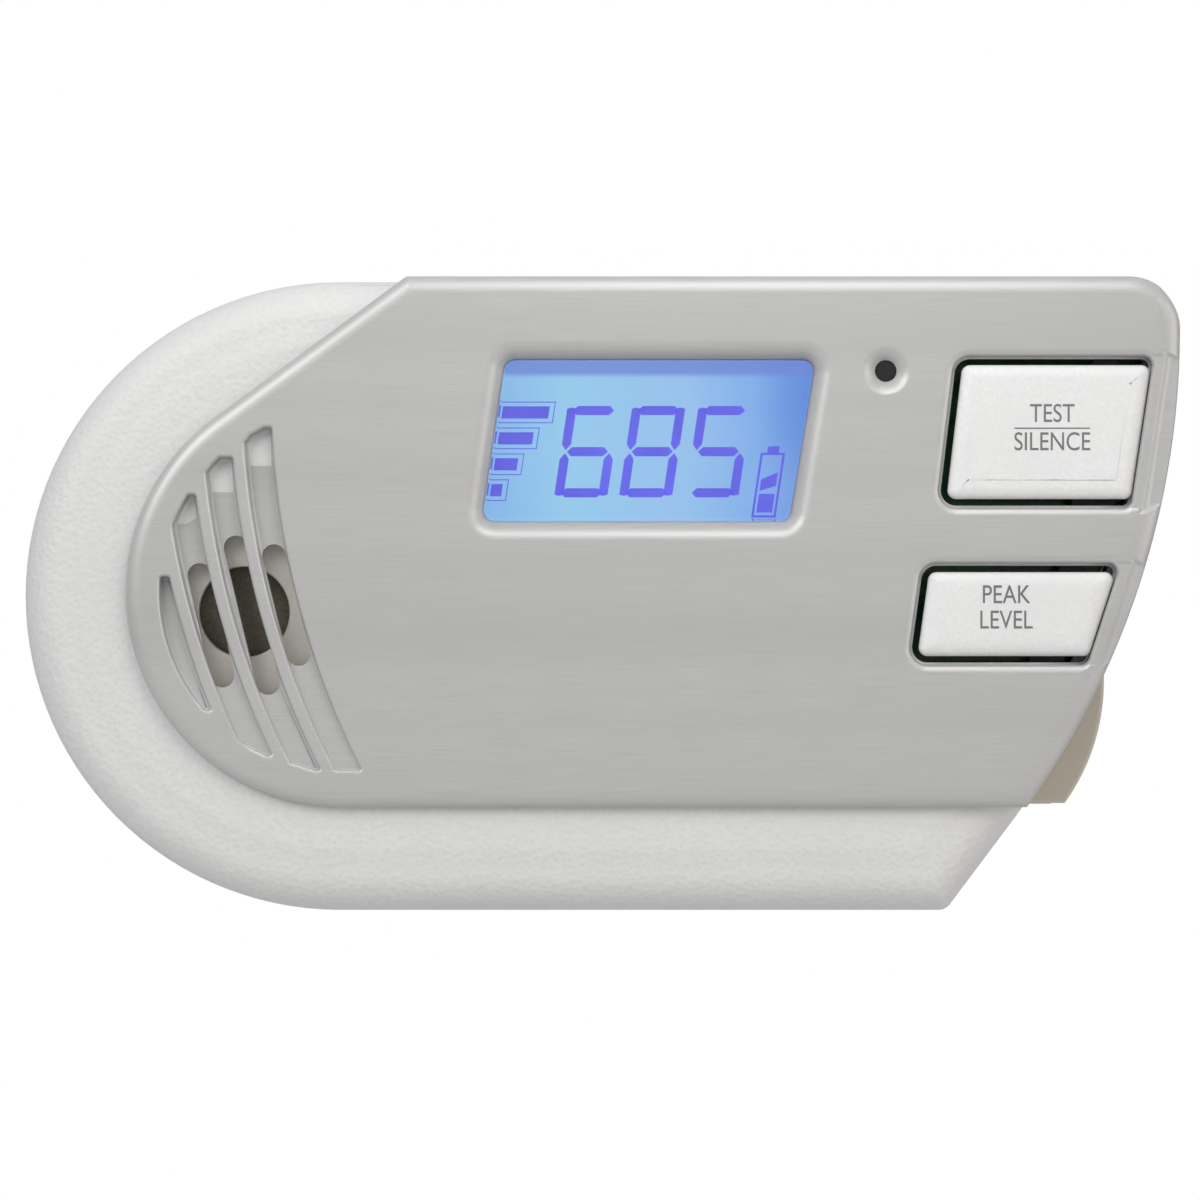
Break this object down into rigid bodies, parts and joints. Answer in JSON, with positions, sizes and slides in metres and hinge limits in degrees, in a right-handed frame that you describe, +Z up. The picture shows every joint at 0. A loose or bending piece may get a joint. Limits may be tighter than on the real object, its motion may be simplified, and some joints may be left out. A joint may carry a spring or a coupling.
{
  "type": "carbon monoxide detector",
  "caption": "Plug-in gas and carbon monoxide alarm with a backlit display, sound slots, two hinged keys, plug blades and a sliding drawer for a back-up battery.",
  "frame": {"origin": "midway between the two plug blades, on the wall plane that the back of the case lies against", "axes": "+X to the right seen from the front, +Z up, +Y from the case into the wall along the blades"},
  "size_m": [0.1602, 0.0547, 0.0879],
  "materials": {
    "white_plastic": "fine leather grain",
    "silver_plastic": "silver, brushed",
    "key_plastic": "fine grain",
    "beige_plastic": "satin",
    "clear_plastic": "polished",
    "display_glass": "lit blue, with segments",
    "light_panel": "milky",
    "conductive_rubber": "striped",
    "foam": "closed cell",
    "bronze": "dull, speckled",
    "wire_red": "satin",
    "board_green": "solder mask",
    "chip_black": "moulded",
    "ceramic": "fired",
    "sensor_can": "drawn, with mesh",
    "iron": "stacked sheets",
    "winding_tape": "film tape",
    "sleeve_blue": "shrink sleeve",
    "varistor_blue": "dipped",
    "led_red": "tinted",
    "smoke_plastic": "polished",
    "plug_black": "fine grain",
    "nickel": "plated",
    "spring_steel": "plated",
    "battery_can": "printed bands, no lettering",
    "screw_steel": "zinc plated",
    "label_film": "blank film"
  },
  "bodies": {
    "housing": {"rear_case": "white_plastic", "front_case": "white_plastic", "fascia": "silver_plastic", "lcd_window": "clear_plastic", "lcd_holder": "light_panel", "lcd_glass": "display_glass", "lcd_backlight": "light_panel", "zebra_strips": "conductive_rubber", "horn_chamber": "beige_plastic", "horn_gasket": "foam", "piezo_disc": "bronze", "horn_leads": "wire_red", "circuit_board": "board_green", "microcontroller": "chip_black", "surface_parts": "ceramic", "co_sensor_cell": "sensor_can", "gas_sensor": "sensor_can", "transformer_core": "iron", "transformer_coil": "winding_tape", "capacitors": "sleeve_blue", "fuse": "clear_plastic", "varistor": "varistor_blue", "test_switch_body": "chip_black", "peak_switch_body": "chip_black", "key_hinge_strip": "chip_black", "status_led": "led_red", "led_light_guide": "smoke_plastic", "plug_block": "plug_black", "blade_live": "nickel", "blade_neutral": "nickel", "mains_leads": "wire_red", "battery_contacts": "spring_steel", "case_screws": "screw_steel", "board_screws": "screw_steel", "rating_label": "label_film"},
    "test_key": {"test_key": "key_plastic"},
    "peak_key": {"peak_key": "key_plastic"},
    "test_plunger": {"test_switch_plunger": "chip_black"},
    "peak_plunger": {"peak_switch_plunger": "chip_black"},
    "drawer": {"battery_drawer": "beige_plastic", "battery": "battery_can", "battery_terminals": "nickel"}
  },
  "joints": [
    {"name": "test_key", "type": "hinge", "parent": "housing", "child": "test_key", "pos_m": [0.0688, -0.0337, 0.02265], "axis": [-0.1496, 0, -0.9887], "range_deg": [0, 1.2], "stiffness_Nm_per_rad": 2},
    {"name": "peak_key", "type": "hinge", "parent": "housing", "child": "peak_key", "pos_m": [0.0635, -0.0337, -0.0025], "axis": [-0.3113, 0, -0.9503], "range_deg": [0, 1.2], "stiffness_Nm_per_rad": 2},
    {"name": "test_plunger", "type": "slide", "parent": "housing", "child": "test_plunger", "axis": [0, 1, 0], "range_m": [0, 0.0003]},
    {"name": "peak_plunger", "type": "slide", "parent": "housing", "child": "peak_plunger", "axis": [0, 1, 0], "range_m": [0, 0.0003]},
    {"name": "drawer", "type": "slide", "parent": "housing", "child": "drawer", "axis": [1, 0, 0], "range_m": [0, 0.046]}
  ],
  "couplings": [
    {"joint": "test_plunger", "follows": "test_key", "m_per_rad": 0.014},
    {"joint": "peak_plunger", "follows": "peak_key", "m_per_rad": 0.014}
  ]
}
